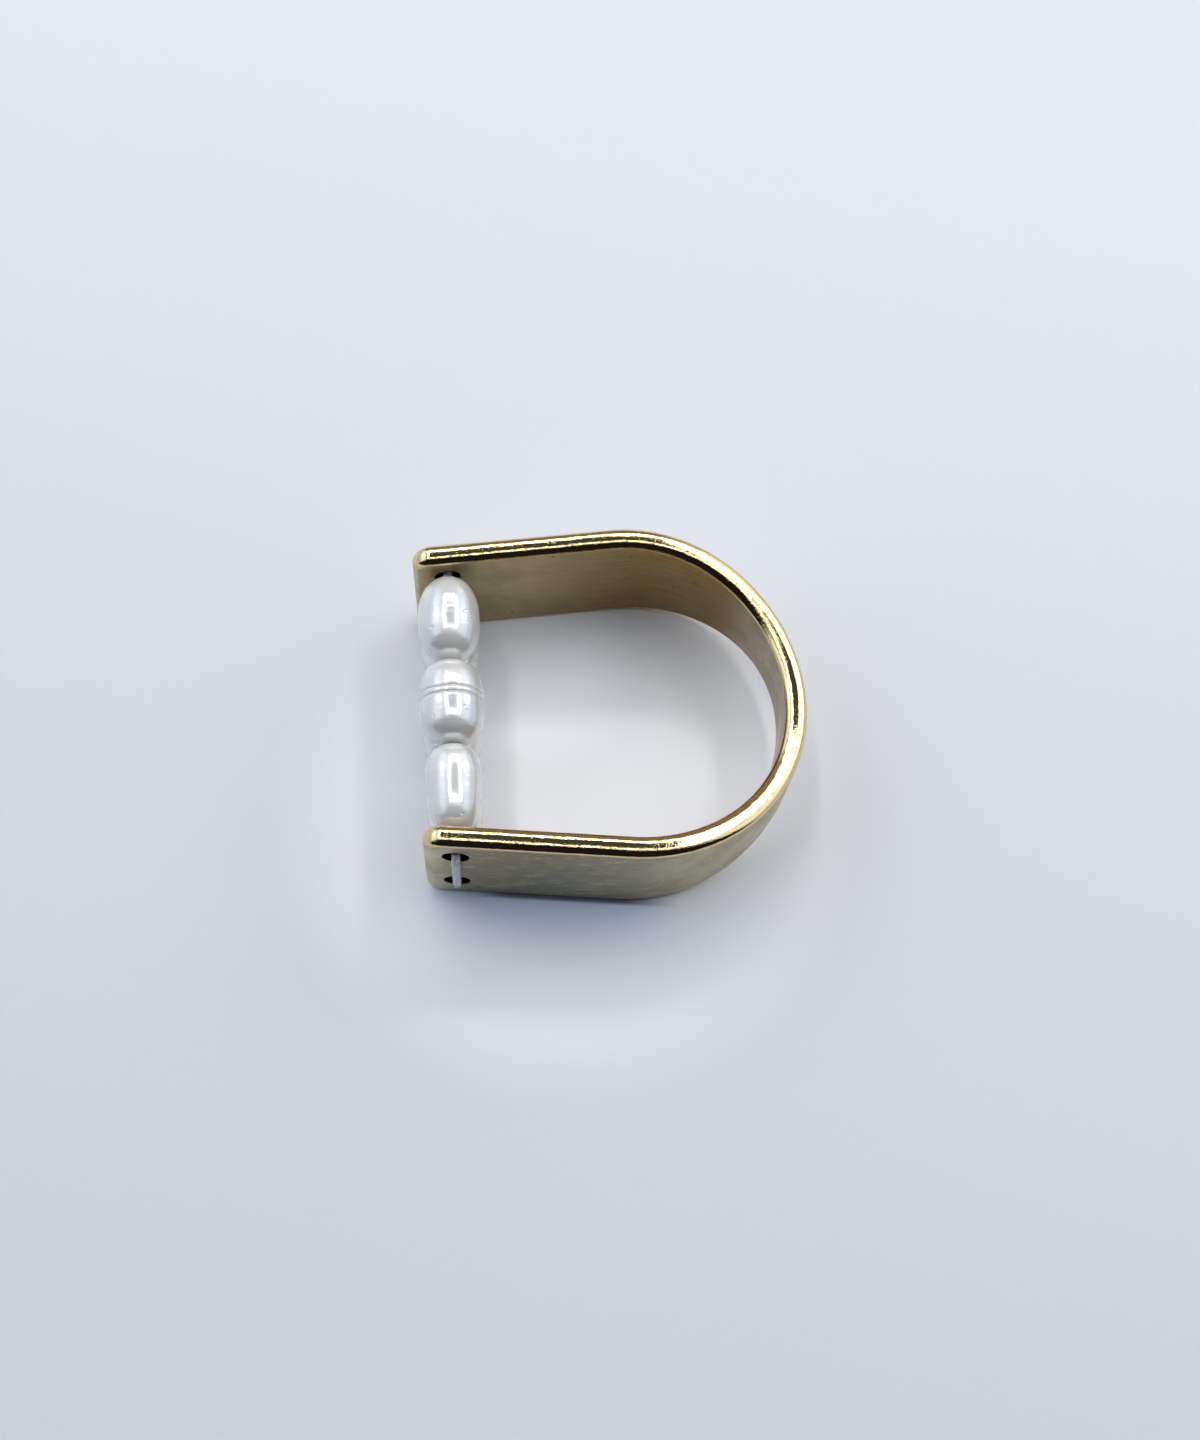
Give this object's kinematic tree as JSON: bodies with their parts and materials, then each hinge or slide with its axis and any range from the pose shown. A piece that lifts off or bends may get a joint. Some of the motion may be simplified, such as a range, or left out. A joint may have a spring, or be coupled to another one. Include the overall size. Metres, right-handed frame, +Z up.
{
  "type": "pearl ring",
  "caption": "Open gold band ring with a D-shaped finger space, closed by short rows of drilled rice pearls on a clear thread.",
  "frame": {"origin": "middle of the underside as the ring lies on its side, under the middle of its box", "axes": "+X to the crown, +Y to the longer arm, +Z up, across the band"},
  "size_m": [0.023, 0.0206, 0.0089],
  "materials": {
    "gold": "polished edges, satin faces",
    "clear_thread": "clear nylon",
    "pearl": "lustrous"
  },
  "bodies": {
    "root": {"band": "gold", "thread": "clear_thread", "pearl_upper_far": "pearl", "pearl_upper_middle": "pearl", "pearl_upper_near": "pearl", "pearl_lower_far": "pearl", "pearl_lower_middle": "pearl", "pearl_lower_near": "pearl"}
  },
  "joints": []
}
